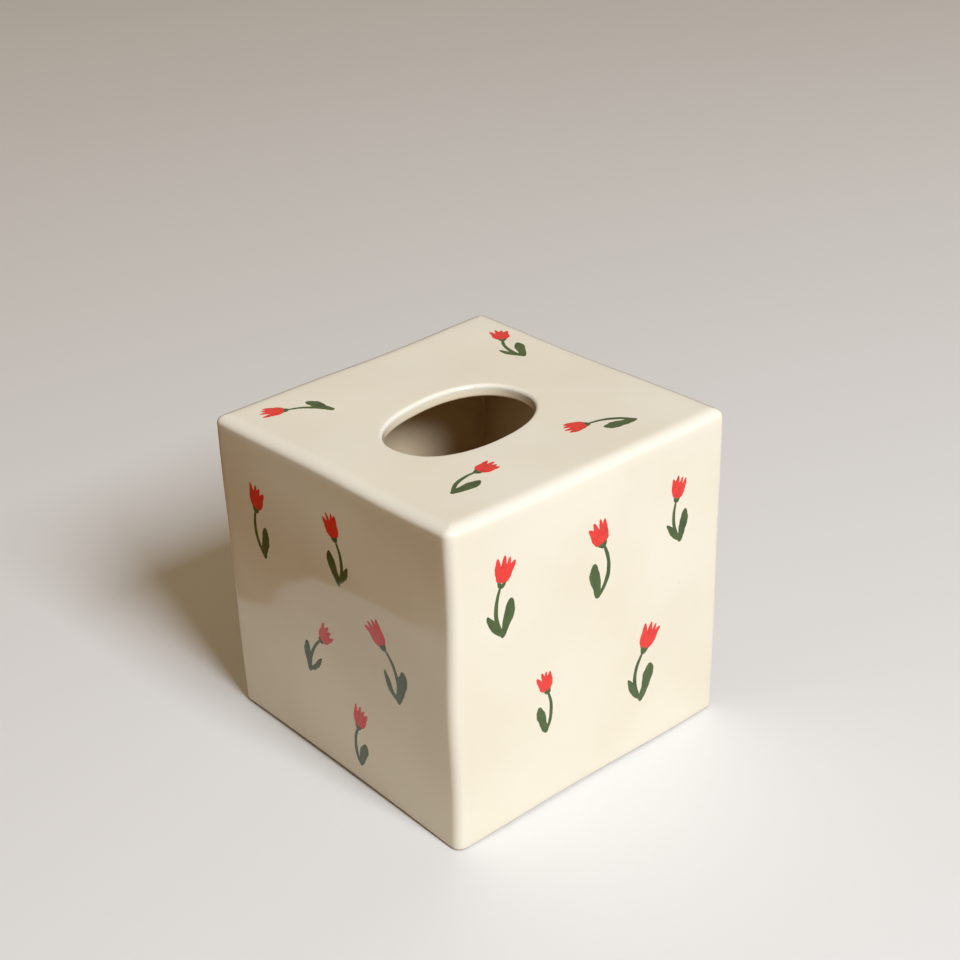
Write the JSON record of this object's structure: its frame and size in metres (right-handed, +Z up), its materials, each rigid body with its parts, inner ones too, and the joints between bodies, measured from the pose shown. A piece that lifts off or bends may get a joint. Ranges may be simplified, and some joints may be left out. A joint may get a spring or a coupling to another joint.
{
  "type": "ceramic tissue box cover",
  "caption": "Hand-built glazed ceramic cube that drops over a square carton of tissues, with an oval mouth in its sagging top, an open foot and painted tulip sprigs.",
  "frame": {"origin": "middle of the foot, on the surface that the cover stands on", "axes": "+Z up through the mouth; the front wall faces -Y and the left wall faces -X"},
  "size_m": [0.1452, 0.1444, 0.139],
  "materials": {
    "glaze": "glossy cream glaze over pale stoneware, wiped bare under the foot",
    "red_paint": "brushed red underglaze of the blooms, under the clear glaze",
    "green_paint": "brushed dark green underglaze of the stems and leaves, under the clear glaze"
  },
  "bodies": {
    "root": {"tissue_cover": "glaze"}
  },
  "joints": []
}
